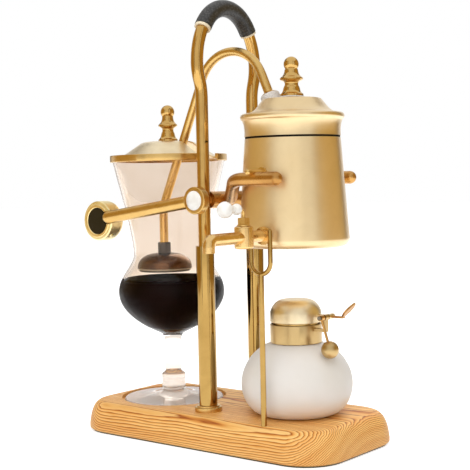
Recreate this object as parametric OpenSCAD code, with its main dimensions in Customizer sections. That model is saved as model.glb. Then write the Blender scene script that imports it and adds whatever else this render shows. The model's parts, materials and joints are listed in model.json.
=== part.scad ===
// Balance siphon coffee maker: a glass brewing chamber and a metal boiler hung on a tilting beam,
// joined by a siphon tube, on a wooden board with two posts, a carrying handle and a spirit lamp.
// Millimetres. X runs from the glass to the boiler, Y from front to back, Z up from the table.

/* [Board] */
// Length of the wooden board
board_l = 272; // [250:1:320]
// Width of the wooden board, front to back
board_w = 133; // [126:1:180]
// Thickness of the wooden board
board_t = 25.5; // [20:0.5:36]
// Plan radius of the board's corners
board_corner_r = 36; // [22:1:48]
// How far the rounded top edge of the board runs in
board_edge = 14; // [4:0.5:18]
// Distance of the board's middle from the posts, along the board
board_shift = 1; // [0:0.5:6]
// Distance of the board's middle in front of the posts
board_front = 2; // [0:0.5:4]
// Thickness of the felt under the board
felt_t = 1.5; // [1:0.1:3]
// Distance of the felt's edge from the board's edge
felt_inset = 2.5; // [1:0.5:8]
// Depth of the recess for the glass foot
recess_depth = 3; // [1:0.5:6]

/* [Posts and handle] */
// Distance between the two posts, centre to centre
post_spacing = 70; // [64:1:90]
// Outer radius of the lower post sleeve
sleeve_r = 7.9; // [6.5:0.1:10]
// Height of the sleeve's top above the table
sleeve_top = 170; // [140:1:185]
// Outer radius of the bent handle tube
tube_r = 5.4; // [4.5:0.1:6.2]
// Wall of the bent handle tube
tube_wall = 1.2; // [0.8:0.1:2]
// Height where the handle starts to swell out
swell_start = 298; // [285:1:310]
// Height of that swell
swell_h = 29; // [20:1:40]
// How far each side swells out
swell_out = 5; // [2:0.5:9]
// Rise of the arch above the swell, to the tube's centre line
arch_rise = 49.4; // [44:0.2:60]
// Turn of the side arcs of the arch, in degrees
arch_side_turn = 40; // [30:1:50]
// Outer radius of the grip sleeve
grip_r = 7.5; // [6.5:0.1:10]
// Radius of the foot flanges
flange_r = 11.8; // [10:0.1:16]
// Height of the foot flanges
flange_h = 5; // [3:0.5:9]

/* [Beam] */
// Height of the pivot above the table
pivot_z = 209.3; // [205:0.1:216]
// Radius of the pivot shaft
shaft_r = 3.5; // [2.5:0.1:4]
// Tilt of the balance bar at rest, in degrees
bar_tilt = 8.3; // [6:0.1:10]
// Swing of the bar to the front, in degrees
bar_yaw = 5.2; // [4:0.1:8]
// Radius of the balance bar
bar_r = 5.7; // [4:0.1:6.5]
// Reach of the balance bar from the pivot to its rounded tip
bar_reach = 104.5; // [98:0.5:115]
// Radius of the pivot eye
eye_r = 11.7; // [10:0.1:14]
// Thickness of the pivot eye
eye_t = 7.5; // [6:0.1:10]
// Radius of the enamel button on the eye
enamel_r = 8.3; // [5:0.1:9.5]
// Radius of the counterweight
weight_r = 18; // [15:0.1:19]
// Length of the counterweight's straight part
weight_l = 11; // [8:0.5:13]
// Length of the counterweight's domed back
weight_dome = 12; // [8:0.5:13]
// Outer radius of the badge bezel
bezel_r = 15; // [13:0.1:16.5]
// Radius of the plain badge disc
badge_r = 12; // [9:0.1:12.8]
// Radius of the yoke's arms
arm_r = 5.6; // [4.5:0.1:6]
// Radius of the yoke's hub
hub_r = 7.4; // [6.5:0.1:9]
// Bend radius of the yoke's arms
arm_bend_r = 20; // [14:1:24]
// Turn of the yoke's arms, in degrees
arm_turn = 50; // [42:1:55]
// Length of an arm past the trunnion
arm_past = 22; // [14:1:28]

/* [Boiler] */
// Distance of the boiler's axis from the posts
boiler_x = 69.7; // [68:0.1:74]
// Height of the trunnion pins above the pivot
trunnion_rise = 22.7; // [20:0.1:26]
// Radius of the trunnion pins
trunnion_r = 2.5; // [1.8:0.1:3]
// Radius of the boiler at its seam
boiler_top_r = 40.4; // [38:0.1:42]
// Radius of the boiler at its foot
boiler_foot_r = 46.6; // [44:0.1:48]
// Height of the boiler below its seam
boiler_h = 91; // [84:0.5:92]
// Height of the seam above the trunnions
seam_rise = 28; // [24:0.5:34]
// Wall of the boiler, of its lid and of the chamber's cover
boiler_wall = 0.9; // [0.7:0.1:1.6]
// Rounding of the boiler's foot
boiler_foot_round = 7; // [3:0.5:10]
// Gap of the seam between the lid and the boiler
seam_gap = 1.7; // [0.8:0.1:2.4]
// How far the lid's brim stands out past the boiler's top
brim_over = 3.5; // [3:0.1:6]
// Height of the lid's brim above the seam
brim_rise = 18; // [15:0.5:22]
// Height of the lid's flat top above the brim
crown_rise = 15.5; // [13:0.5:19]
// Radius of the lid's flat top
crown_r = 24.5; // [23:0.5:27]
// Radius of the filler hole
filler_r = 5.6; // [4:0.1:6.5]
// Height of the filler knob
knob_h = 33; // [28:0.5:40]

/* [Siphon] */
// Radius of the siphon tube
siphon_r = 3.95; // [3.2:0.05:4.2]
// Wall of the siphon tube
siphon_wall = 0.7; // [0.5:0.1:1]
// Lean of the tube's straight legs from upright, in degrees
siphon_lean = 24; // [22:0.5:26]
// Radius of the tube's arch
siphon_arch_r = 36.7; // [34:0.1:38]
// Distance of the arch's middle from the posts
siphon_arch_x = 4.7; // [2:0.1:7]
// Height of the centre of the siphon's arch above the pivot
siphon_rise = 92.5; // [90.7:0.1:93.7]
// Distance of the filter's axis from the chamber's axis
filter_offset = 8; // [6:0.1:9]
// Radius of the filter bell
bell_r = 25.5; // [20:0.5:26]
// Height of the filter bell
bell_h = 14; // [10:0.5:18]
// Height of the bell's rim above the table
bell_z = 146; // [144:0.5:150]
// Radius of the stopper in the boiler's lid
stopper_r = 8.4; // [7.4:0.1:8.8]

/* [Tap] */
// Height of the tap above the boiler's foot
tap_rise = 11.5; // [10:0.5:14]
// Radius of the tap's pipe
pipe_r = 4.8; // [4:0.1:5.2]
// Bore of the tap's pipe
pipe_bore_r = 2.6; // [1.8:0.1:3]
// Distance of the valve from the boiler's axis
valve_reach = 76; // [73:0.5:79]
// Radius of the valve's barrel
valve_r = 7.6; // [7:0.1:8.5]
// Height of the valve's barrel
valve_h = 18; // [15:0.5:22]
// Radius of the plug in the valve
plug_r = 4.4; // [3.6:0.1:5]
// Distance of the spout from the boiler's axis
spout_reach = 123.5; // [115:0.5:130]
// Length of the spout below the pipe's centre line
spout_drop = 9.5; // [8:0.5:14]
// Turn of the tap from straight ahead, in degrees
tap_yaw = 4.2; // [3.8:0.1:5]
// Radius of the lever's wire
wire_r = 1.3; // [1:0.1:1.6]
// Height of the lever's wire above the pipe's centre line
lever_rise = 22.5; // [21:0.5:28]
// Radius of the large ball of the lever's ceramic handle
gourd_r = 6.5; // [5:0.1:6.8]
// Radius of the prop's rod
prop_r = 2.3; // [1.8:0.1:2.6]
// Radius of the prop's fork wire
fork_r = 1.9; // [1.5:0.1:2.2]
// Half the distance between the fork's tines
fork_half = 9.6; // [9:0.1:11]
// Height of the fork's tines above its curved foot
fork_h = 25; // [22:0.5:30]

/* [Glass chamber] */
// Distance of the chamber's axis from the posts
chamber_x = 71.5; // [71:0.1:74]
// Radius of the chamber's rim
chamber_rim_r = 52; // [50:0.1:53]
// Height of the chamber's rim above the table
chamber_rim_z = 246; // [244:0.5:250]
// Radius of the chamber's waist
waist_r = 34.2; // [33.5:0.1:35]
// Height of the chamber's waist above the table
waist_z = 162; // [160:0.5:165]
// Radius of the chamber's bowl
bowl_r = 48.9; // [47:0.1:52]
// Height of the bowl's widest ring above the table
bowl_z = 124.5; // [121:0.5:128]
// Height of the bowl's foot above the table
bowl_foot_z = 86; // [82:0.5:90]
// Wall of the glass
glass_wall = 2; // [1.4:0.1:2.4]
// Radius of the chamber's stem
stem_r = 7.3; // [6:0.1:9]
// Radius of the chamber's foot
foot_r = 46; // [40:0.5:50]
// Height of the chamber lid's flat top above the rim
lid_rise = 17.5; // [14:0.5:20]
// Width of the slot for the tube in the chamber's lid
slot_w = 13.5; // [11:0.5:15]
// Height of the chamber lid's knob
lid_knob_h = 33; // [28:0.5:38]
// Radius of the foot of the chamber lid's knob
lid_knob_foot_r = 9; // [7:0.1:10]

/* [Spirit lamp] */
// Widest radius of the lamp's glass
lamp_r = 47.4; // [42:0.1:48]
// Height of the widest ring above the board
lamp_belly = 26; // [22:0.5:30]
// Height of the shoulder above the board
lamp_shoulder = 60.5; // [57:0.5:62]
// Radius of the lamp's neck
lamp_neck_r = 20.5; // [18:0.1:20.6]
// Outer radius of the collar and of the snuffer lid
collar_r = 22; // [21.4:0.1:23]
// Height of the collar
collar_h = 16; // [14:0.2:18]
// Gap between the collar and the snuffer lid
snuffer_gap = 1.4; // [0.8:0.1:2]
// Height of the snuffer lid
snuffer_h = 20; // [17:0.5:20]
// Radius of the wick
wick_r = 3.6; // [2.5:0.1:4.5]
// Distance of the lid's hinge from the lamp's axis
hinge_reach = 32; // [31:0.5:33]
// Radius of the lid's hinge pin
hinge_pin_r = 1.2; // [0.9:0.05:1.3]
// Length of the thumb tab from the hinge
tab_reach = 25; // [20:0.5:26]
// Radius of the hanging ball
ball_r = 7.3; // [5:0.1:7.5]
// Length of the ball's arm, hinge to ball centre
ball_arm = 27; // [25:0.5:32]

/* [Fits] */
// Radial clearance of a running fit
run_fit = 0.05; // [0.02:0.01:0.1]
// Clearance between pieces that are fixed together
seat_fit = 0.1; // [0.05:0.01:0.15]
// Clearance between loose pieces of different bodies
loose_fit = 0.3; // [0.2:0.05:0.5]

/* [Hidden] */
$fn = 64;

brass = [0.80, 0.62, 0.30];
dark_brass = [0.62, 0.44, 0.20];
oak = [0.90, 0.70, 0.40];
grey_rubber = [0.70, 0.68, 0.66];
clear_glass = [0.85, 0.88, 0.88, 0.35];
frosted_glass = [0.93, 0.92, 0.90, 0.8];
black = [0.06, 0.06, 0.06];
white = [0.95, 0.94, 0.91];
steel = [0.45, 0.42, 0.38];
cotton = [0.90, 0.86, 0.78];

over = 1;
board_top = felt_t + board_t;
post_y = post_spacing / 2;
recess_r = foot_r + 2.4;
recess_z = board_top - recess_depth;
glass_z = recess_z + seat_fit;
trunnion_z = pivot_z + trunnion_rise;
seam_z = trunnion_z + seam_rise;
siphon_arch_z = pivot_z + siphon_rise;
boiler_foot_z = seam_z - boiler_h;
tap_z = boiler_foot_z + tap_rise;

// Points of a cubic curve through its two ends
function curve(p, n) = [
    for (i = [0:n])
        let (t = i / n, s = 1 - t)
            s * s * s * p[0] + 3 * s * s * t * p[1] + 3 * s * t * t * p[2] + t * t * t * p[3]
];

// Points of a circular arc
function arc(c, r, from, to, n) = [
    for (i = [0:n])
        let (a = from + (to - from) * i / n)
            [c[0] + r * cos(a), c[1] + r * sin(a)]
];

// Runs a round bar or pipe along +Z through steps of [length, 0] or [bend radius, turn towards +X].
// Every second step is a hair thinner and its neighbours lap over it, so that the steps make one body.
lap = 0.25;
lap_fit = 0.06;
module run(steps, outer, inner = 0, i = 0) {
    if (i < len(steps)) {
        size = steps[i][0];
        turn = steps[i][1];
        full = i % 2 == 0;
        thin = full ? 0 : lap_fit;
        bore = inner > 0 ? inner + thin : 0;
        lead = full && i > 0 ? lap : 0;
        tail = full && i < len(steps) - 1 ? lap : 0;
        if (turn == 0) {
            translate([0, 0, -lead]) linear_extrude(size + lead + tail) ring(outer - thin, bore);
            translate([0, 0, size]) run(steps, outer, inner, i + 1);
        } else {
            side = turn > 0 ? 0 : 180;
            a = abs(turn);
            lead_turn = lead / size * 180 / PI;
            tail_turn = tail / size * 180 / PI;
            rotate([0, 0, side]) {
                translate([size, 0, 0]) rotate([90, 0, 180]) rotate([0, 0, -lead_turn])
                    rotate_extrude(angle = a + lead_turn + tail_turn)
                        translate([size, 0]) ring(outer - thin, bore);
                translate([size * (1 - cos(a)), 0, size * sin(a)]) rotate([0, a, 0])
                    rotate([0, 0, -side]) run(steps, outer, inner, i + 1);
            }
        }
    }
}

module ring(outer, inner) {
    difference() {
        circle(outer);
        if (inner > 0) circle(inner);
    }
}

// Cylinder along Y between two places
module y_rod(r, from, to) {
    translate([0, from, 0]) rotate([-90, 0, 0]) cylinder(h = to - from, r = r);
}

// Slab with a rounded plan whose sides swell inwards to the top
module slab(l, w, h, corner, edge) {
    for (x = [-1, 1], y = [-1, 1])
        translate([x * (l / 2 - corner), y * (w / 2 - corner), 0])
            rotate_extrude() polygon(concat([[0, 0]], slab_side(corner, h, edge), [[0, h]]));
    translate([-(l / 2 - corner), 0, 0]) rotate([90, 0, 90])
        linear_extrude(l - 2 * corner) slab_section(w / 2, h, edge);
    translate([0, w / 2 - corner, 0]) rotate([90, 0, 0])
        linear_extrude(w - 2 * corner) slab_section(l / 2, h, edge);
}

function slab_side(half, h, edge) = concat(
    [[half - 1, 0], [half, 1]],
    curve([[half, 0.15 * h], [half - 0.12 * edge, 0.7 * h], [half - 0.36 * edge, h], [half - edge, h]], 9)
);

module slab_section(half, h, edge) {
    side = slab_side(half, h, edge);
    polygon(concat(side, [for (i = [len(side) - 1:-1:0]) [-side[i][0], side[i][1]]]));
}

// Flat sheet with the slab's plan
module sheet(l, w, h, corner) {
    linear_extrude(h) {
        square([l, w - 2 * corner], center = true);
        square([l - 2 * corner, w], center = true);
        for (x = [-1, 1], y = [-1, 1]) translate([x * (l / 2 - corner), y * (w / 2 - corner)]) circle(corner);
    }
}

// Board, felt and what stands on them

bolt_r = 4;
bolt_head_r = 7;
bolt_head_h = 6;
bolt_room = 1.5;
bolt_grip = 16;
prop_x = boiler_x + 6.3;
prop_y = -(boiler_foot_r + fork_r + 7);
prop_nut_h = 5;

module base_board() {
    color(oak) difference() {
        translate([board_shift, -board_front, felt_t])
            slab(board_l, board_w, board_t, board_corner_r, board_edge);
        translate([-chamber_x, 0, recess_z]) cylinder(h = recess_depth + over, r = recess_r);
        for (y = [-post_y, post_y]) translate([0, y, 0]) {
            cylinder(h = board_top + over, r = bolt_r + loose_fit);
            cylinder(h = felt_t + bolt_head_h + bolt_room, r = bolt_head_r + 2 * loose_fit);
        }
        translate([prop_x, prop_y, 0]) {
            cylinder(h = board_top + over, r = prop_r + seat_fit);
            cylinder(h = felt_t + prop_nut_h + bolt_room, r = 2 * prop_r + 2 * loose_fit);
        }
    }
}

module base_felt() {
    color([0.30, 0.32, 0.22]) difference() {
        translate([board_shift, -board_front, 0])
            sheet(board_l - 2 * felt_inset, board_w - 2 * felt_inset, felt_t, board_corner_r - felt_inset);
        for (y = [-post_y, post_y])
            translate([0, y, -over]) cylinder(h = felt_t + 2 * over, r = bolt_head_r + 4 * loose_fit);
        translate([prop_x, prop_y, -over])
            cylinder(h = felt_t + 2 * over, r = 2 * prop_r + 4 * loose_fit);
    }
}

// Each sleeve's foot is solid and takes a bolt from below
module post_sleeves() {
    plug_h = bolt_grip + 6;
    color(brass) for (y = [-post_y, post_y]) translate([0, y, board_top]) difference() {
        cylinder(h = sleeve_top - board_top, r = sleeve_r);
        translate([0, 0, plug_h]) cylinder(h = sleeve_top, r = tube_r + seat_fit);
        translate([0, 0, -over]) cylinder(h = bolt_grip + over + bolt_room, r = bolt_r + seat_fit);
    }
}

module post_flanges() {
    lip = 1;
    bore = sleeve_r + seat_fit;
    step_r = (flange_r + sleeve_r) / 2;
    color(brass) for (y = [-post_y, post_y]) translate([0, y, board_top])
        rotate_extrude() {
            translate([bore, 0]) square([flange_r - bore, flange_h - 2 * lip]);
            translate([bore, 0]) square([flange_r - lip - bore, flange_h - lip]);
            translate([flange_r - lip, flange_h - 2 * lip]) circle(lip);
            translate([bore, 0]) square([step_r - bore, flange_h]);
        }
}

module post_bolts() {
    head_z = felt_t + bolt_room;
    color(steel) for (y = [-post_y, post_y]) translate([0, y, head_z]) {
        cylinder(h = bolt_head_h, r = bolt_head_r, $fn = 6);
        cylinder(h = board_top + bolt_grip - head_z, r = bolt_r);
    }
}

// Handle: two straight legs, a swell, and an arch of three arcs

swell_turn = 2 * atan(swell_out / swell_h);
swell_r = swell_h / (2 * sin(swell_turn));
arch_half = post_y + swell_out;
arch_k = (1 - cos(arch_side_turn)) / cos(arch_side_turn);
arch_side_r = (arch_rise - (1 - sin(arch_side_turn)) * arch_half / cos(arch_side_turn))
    / (sin(arch_side_turn) - (1 - sin(arch_side_turn)) * arch_k);
arch_top_r = arch_half / cos(arch_side_turn) - arch_k * arch_side_r;
arch_top_turn = 90 - arch_side_turn;
leg_start = board_top + bolt_grip + 6 + 1;
swell_top = swell_start + swell_h;
arch_top_z = swell_top + arch_rise;
grip_side_turn = 7.5;

module handle_frame() {
    leg = swell_start - leg_start;
    path = [
        [leg, 0], [swell_r, -swell_turn], [swell_r, swell_turn], [arch_side_r, arch_side_turn],
        [arch_top_r, 2 * arch_top_turn],
        [arch_side_r, arch_side_turn], [swell_r, swell_turn], [swell_r, -swell_turn], [leg, 0]
    ];
    color(brass) difference() {
        translate([0, -post_y, leg_start]) rotate([0, 0, 90]) run(path, tube_r, tube_r - tube_wall);
        translate([0, 0, pivot_z])
            y_rod(bush_r + seat_fit, -post_y - tube_r - over, post_y + tube_r + over);
    }
}

// The grip covers the top arc and a little of each side arc
grip_from = arch_side_turn - grip_side_turn;

module handle_grip() {
    y = -arch_half + arch_side_r * (1 - cos(grip_from));
    z = swell_top + arch_side_r * sin(grip_from);
    path = [[arch_side_r, grip_side_turn], [arch_top_r, 2 * arch_top_turn], [arch_side_r, grip_side_turn]];
    color(black) translate([0, y, z]) rotate([0, 0, 90]) rotate([0, grip_from, 0])
        run(path, grip_r, tube_r + seat_fit);
}

module grip_rings() {
    ring_turn = 2;
    color([0.85, 0.80, 0.68]) for (side = [0, 180])
        rotate([0, 0, side]) translate([0, -arch_half + arch_side_r, swell_top])
            rotate([90, 0, -90])
                rotate([0, 0, grip_from - ring_turn])
                    rotate_extrude(angle = ring_turn) translate([arch_side_r, 0])
                        ring(grip_r - 0.4, tube_r + seat_fit);
}

bush_r = shaft_r + 1;

module pivot_bushes() {
    color(dark_brass) translate([0, 0, pivot_z]) for (side = [-1, 1]) difference() {
        y_rod(bush_r, side * post_y - tube_r - loose_fit, side * post_y + tube_r + loose_fit);
        y_rod(shaft_r + run_fit, side * post_y - 2 * tube_r, side * post_y + 2 * tube_r);
    }
}

// Prop: a rod on the board whose fork guides the tap's pipe and stops the boiler

fork_foot_z = tap_z - fork_h + 4;

module tap_prop() {
    rod_top = fork_foot_z - fork_half;
    rod_start = felt_t + bolt_room;
    color(brass) translate([prop_x, prop_y, 0]) {
        translate([0, 0, rod_start]) cylinder(h = rod_top - rod_start, r = prop_r);
        translate([0, 0, fork_foot_z]) {
            rotate([90, 180, 0]) rotate_extrude(angle = 180) translate([fork_half, 0]) circle(fork_r);
            for (side = [-1, 1]) translate([side * fork_half, 0, 0]) {
                cylinder(h = fork_h, r = fork_r);
                translate([0, 0, fork_h]) sphere(fork_r);
            }
        }
    }
}

module prop_nut() {
    color(steel) translate([prop_x, prop_y, felt_t + bolt_room]) difference() {
        cylinder(h = prop_nut_h, r = 2 * prop_r, $fn = 6);
        translate([0, 0, -over]) cylinder(h = prop_nut_h + 2 * over, r = prop_r + seat_fit);
    }
}

// Glass chamber, its brass rim and its lid

foot_edge = 2.5;
knuckle_r = stem_r + 3.7;
knuckle_z = glass_z + 10;
knuckle_h = 15;

module glass_chamber() {
    rim_mid = [(chamber_rim_r + 2 * waist_r) / 3 + 4.8, chamber_rim_z - 31];
    neck_mid = [waist_r + 1.8, waist_z + 23];
    outer = concat(
        curve([[chamber_rim_r, chamber_rim_z], rim_mid, neck_mid, [waist_r, waist_z]], 16),
        curve([[waist_r, waist_z], [waist_r - 1.2, waist_z - 12], [bowl_r, bowl_z + 16.5],
            [bowl_r, bowl_z]], 16),
        curve([[bowl_r, bowl_z], [bowl_r, bowl_z - 18.5], [bowl_r - 22, bowl_foot_z + 7],
            [stem_r + 3.7, bowl_foot_z]], 16),
        curve([[stem_r + 3.7, bowl_foot_z], [stem_r + 0.3, bowl_foot_z - 2], [stem_r, bowl_foot_z - 8],
            [stem_r, bowl_foot_z - 20]], 10),
        [[stem_r, knuckle_z + knuckle_h + 2]],
        arc([knuckle_r - 2, knuckle_z + knuckle_h - 2], 2, 90, 0, 4),
        arc([knuckle_r - 2, knuckle_z + 2], 2, 0, -90, 4),
        curve([[knuckle_r - 2.2, knuckle_z - 0.2], [knuckle_r + 2, glass_z + foot_edge + 3],
            [foot_r - 18, glass_z + foot_edge + 0.5], [foot_r - 1, glass_z + foot_edge]], 10),
        [[foot_r, glass_z + foot_edge - 1], [foot_r, glass_z + 0.8], [foot_r - 0.8, glass_z],
            [0, glass_z]]
    );
    t = glass_wall;
    inner = concat(
        curve([[0, bowl_foot_z + 4], [bowl_r - 26, bowl_foot_z + 5], [bowl_r - t, bowl_z - 17],
            [bowl_r - t, bowl_z]], 16),
        curve([[bowl_r - t, bowl_z], [bowl_r - t, bowl_z + 16.5], [waist_r - 1.2 - t, waist_z - 12],
            [waist_r - t, waist_z]], 16),
        curve([[waist_r - t, waist_z], neck_mid - [t, 0], rim_mid - [t, 0],
            [chamber_rim_r - t, chamber_rim_z]], 16)
    );
    color(clear_glass) translate([-chamber_x, 0, 0]) rotate_extrude() polygon(concat(outer, inner));
}

// The cover's rolled rim hangs round the glass and carries the cover's sheet
rim_band = 1.6;
ledge_t = 1;
rest_z = chamber_rim_z + 0.1;
ledge_z = rest_z + ledge_t;
lid_r = chamber_rim_r - 1.5;

module chamber_rim() {
    bore = chamber_rim_r + loose_fit;
    out = bore + rim_band;
    seat_r = lid_r + seat_fit;
    foot = chamber_rim_z - 1.5;
    band_h = 6.2;
    edge = 0.7;
    color(brass) difference() {
        translate([-chamber_x, 0, 0]) rotate_extrude() {
            translate([bore, foot]) square([rim_band - edge, band_h]);
            translate([bore, foot + edge]) square([rim_band, band_h - 2 * edge]);
            for (z = [foot + edge, foot + band_h - edge]) translate([out - edge, z]) circle(edge);
            translate([seat_r, rest_z]) square([out - edge - seat_r, foot + band_h - rest_z]);
            translate([lid_r - 2.5, rest_z]) square([seat_r - lid_r + 2.6, ledge_t]);
        }
        tube_slot();
    }
}

lid_z = ledge_z + 0.1;
lid_top_z = chamber_rim_z + lid_rise;
lid_flat_r = 24.6;
lid_lip_r = lid_r - 7;

// Place on the tube's left leg at a height
leg_x = siphon_arch_x - siphon_arch_r * cos(siphon_lean);
leg_z = siphon_arch_z + siphon_arch_r * sin(siphon_lean);
function leg_at(z) = leg_x - (leg_z - z) * tan(siphon_lean);

// Slot that lets the cover pass the leaning tube, open towards the posts
module tube_slot() {
    mid_z = (lid_z + lid_top_z) / 2;
    translate([leg_at(mid_z), 0, mid_z]) rotate([0, siphon_lean, 0]) {
        cylinder(h = 3 * lid_rise, r = slot_w / 2, center = true);
        translate([0, -slot_w / 2, -1.5 * lid_rise]) cube([3 * lid_r, slot_w, 3 * lid_rise]);
    }
}

module chamber_lid() {
    lip_z = lid_z + boiler_wall;
    outer = concat(
        [[0, lid_top_z]],
        curve([[lid_flat_r - 14, lid_top_z], [lid_flat_r - 6, lid_top_z - 0.2],
            [lid_flat_r - 2, lid_top_z - 0.6], [lid_flat_r + 1, lid_top_z - 2.2]], 8),
        curve([[lid_lip_r - 2, lip_z + 2.6], [lid_lip_r + 0.5, lip_z + 1.2], [lid_lip_r + 3, lip_z + 0.4],
            [lid_r, lip_z]], 8)
    );
    last = len(outer) - 1;
    inner = [for (i = [last:-1:1]) outer[i] - boiler_wall * [i == last ? 0 : 0.5, 1]];
    color(brass) difference() {
        translate([-chamber_x, 0, 0]) rotate_extrude()
            polygon(concat(outer, inner, [[0, lid_top_z - boiler_wall]]));
        translate([-chamber_x, 0, lid_z - over])
            cylinder(h = lid_rise + 2 * over, r = knob_shank_r + seat_fit);
        tube_slot();
    }
}

// Turned finial: base, waist, flange, neck and ball, on a shank that goes down through a hole
module finial(h, base_r, shank_r, shank) {
    b = base_r;
    ball = 0.194 * h;
    profile = concat(
        [[0, -shank], [shank_r, -shank], [shank_r, 0], [b, 0], [b, 0.045 * h]],
        curve([[0.93 * b, 0.06 * h], [0.8 * b, 0.09 * h], [0.74 * b, 0.13 * h], [0.72 * b, 0.17 * h]], 6),
        curve([[0.7 * b, 0.19 * h], [0.66 * b, 0.25 * h], [0.56 * b, 0.26 * h], [0.57 * b, 0.31 * h]], 6),
        curve([[0.58 * b, 0.33 * h], [0.62 * b, 0.37 * h], [0.8 * b, 0.38 * h], [0.92 * b, 0.4 * h]], 6),
        [[0.98 * b, 0.425 * h], [0.98 * b, 0.445 * h]],
        curve([[0.92 * b, 0.47 * h], [0.76 * b, 0.5 * h], [0.6 * b, 0.55 * h], [0.57 * b, 0.66 * h]], 8),
        arc([0, h - ball], ball, -36, 90, 18)
    );
    rotate_extrude() polygon(profile);
}

knob_shank_r = 2.5;

module chamber_lid_knob() {
    color(brass) translate([-chamber_x, 0, lid_top_z])
        finial(lid_knob_h, lid_knob_foot_r, knob_shank_r, boiler_wall);
}

// Beam: shaft, yoke, balance bar and counterweight, turning together on the pivot

eye_y = -(post_y + tube_r + 2 * loose_fit);
bar_y = eye_y - eye_t / 2;
shaft_front = eye_y - eye_t + 1;
shaft_back = post_y + tube_r + 8;

module pivot_shaft() {
    color(steel) translate([0, 0, pivot_z]) y_rod(shaft_r, shaft_front, shaft_back - 1);
}

// The eye sits on the shaft in front of the post, and the bar leaves it to the left
module along_bar() {
    translate([0, bar_y, pivot_z]) rotate([0, 0, bar_yaw]) rotate([0, -90 - bar_tilt, 0]) children();
}

bar_root = (eye_r + enamel_r) / 2 - 0.6;

module balance_bar() {
    color(brass) difference() {
        union() {
            translate([0, 0, pivot_z]) {
                y_rod(eye_r - 1, eye_y - eye_t, eye_y);
                y_rod(eye_r, eye_y - eye_t + 1, eye_y - 1);
                for (y = [eye_y - eye_t + 1, eye_y - 1]) translate([0, y, 0]) rotate([90, 0, 0])
                    rotate_extrude() translate([eye_r - 1, 0]) circle(1);
            }
            along_bar() {
                translate([0, 0, bar_root]) cylinder(h = bar_reach - bar_r - bar_root, r = bar_r);
                translate([0, 0, bar_reach - bar_r]) sphere(bar_r);
            }
        }
        translate([0, 0, pivot_z]) {
            y_rod(shaft_r + seat_fit, eye_y - eye_t + 1, eye_y + over);
            y_rod(enamel_r + seat_fit, eye_y - eye_t - over, eye_y - eye_t + 1);
        }
    }
}

// Low dome over a disc, along -Y
module button(r, rim, rise, y) {
    dome = (r * r + rise * rise) / (2 * rise);
    intersection() {
        y_rod(r, y - rim - rise, y);
        translate([0, y - rim - rise + dome, 0]) sphere(dome, $fn = 160);
    }
}

module pivot_enamel() {
    color(white) translate([0, 0, pivot_z]) button(enamel_r, 1.2, 2, eye_y - eye_t + 1);
}

module rear_pivot_cap() {
    color(brass) translate([0, 0, pivot_z]) mirror([0, 1, 0]) difference() {
        button(eye_r - 3, 5, 2, -(post_y + tube_r + 2 * loose_fit));
        y_rod(shaft_r + seat_fit, -shaft_back + 1, 0);
    }
}

// Hub between the posts with two goosenecked arms, each notched for a trunnion
arm_root = post_y / 2;
arm_y = boiler_foot_r + arm_r + 2;
arm_z = trunnion_rise - arm_r;
arm_shift = norm([arm_y - arm_root, arm_z]);
arm_roll = atan2(arm_z, arm_y - arm_root);
arm_slant = (arm_shift - 2 * arm_bend_r * (1 - cos(arm_turn))) / sin(arm_turn);
arm_bends = 2 * arm_bend_r * sin(arm_turn) + arm_slant * cos(arm_turn);
arm_lead = 6;
arm_end = boiler_x + arm_past - arm_lead - arm_bends;
hub_half = post_y - tube_r - 2 * loose_fit;

module yoke_arm() {
    steps = [
        [arm_lead, 0], [arm_bend_r, arm_turn], [arm_slant, 0], [arm_bend_r, -arm_turn], [arm_end, 0]
    ];
    translate([0, -arm_root, 0]) rotate([-90 - arm_roll, 0, 0]) rotate([0, 90, 0])
        run(steps, arm_r);
}

module beam_yoke() {
    color(dark_brass) translate([0, 0, pivot_z]) difference() {
        union() {
            y_rod(hub_r, -hub_half, hub_half);
            for (side = [0, 1]) mirror([0, side, 0]) {
                yoke_arm();
                translate([boiler_x + arm_past - lap, -arm_y, arm_z]) rotate([0, 90, 0]) rotate_extrude()
                    polygon(concat([[0, 0]], arc([0, 0], arm_r - lap_fit, 0, 85, 12),
                        [[0, arm_r - lap_fit]]));
            }
        }
        y_rod(shaft_r + seat_fit, -hub_half - over, hub_half + over);
        for (side = [-1, 1]) translate([boiler_x, 0, trunnion_rise]) {
            y_rod(trunnion_r + run_fit, side * arm_y - 2 * arm_r, side * arm_y + 2 * arm_r);
            translate([-trunnion_r - run_fit, side * arm_y - 2 * arm_r, 0])
                cube([2 * (trunnion_r + run_fit), 4 * arm_r, 2 * arm_r]);
        }
    }
}

// The counterweight's face looks to the front, and the bar's tip lies in a saddle in it
tip_run = bar_reach - bar_r;
tip_x = -tip_run * cos(bar_tilt) * cos(bar_yaw);
tip_y = bar_y - tip_run * cos(bar_tilt) * sin(bar_yaw);
tip_z = pivot_z - tip_run * sin(bar_tilt);
weight_x = tip_x - bar_r - 8;
weight_z = tip_z - 3.4;
weight_y = tip_y - 1;

module weight_profile(t) {
    square([weight_r - 1.5, t]);
    translate([0, 1.5]) square([weight_r, t - 1.5]);
    translate([weight_r - 1.5, 1.5]) circle(1.5);
}

module saddle(gap) {
    side = bar_r + gap + 0.15;
    along_bar() {
        cylinder(h = tip_run, r = bar_r + gap);
        translate([0, 0, tip_run]) sphere(bar_r + gap);
    }
    translate([tip_x, tip_y, tip_z]) rotate([90, 0, 0]) linear_extrude(3 * weight_l) rotate(bar_tilt)
        polygon(concat(arc([0, 0], side, 90, 270, 18), [[2 * weight_r, -side], [2 * weight_r, side]]));
}

// The same bar seen square to the face, as a bite out of the badge
module bite(gap) {
    translate([tip_x, weight_y + bezel_seat + over, tip_z]) rotate([90, 0, 0])
        linear_extrude(bezel_seat + bezel_proud + 2 * over) rotate(bar_tilt)
            polygon(concat(arc([0, 0], bar_r + gap, 90, 270, 18),
                [[2 * weight_r, -bar_r - gap], [2 * weight_r, bar_r + gap]]));
}

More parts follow.
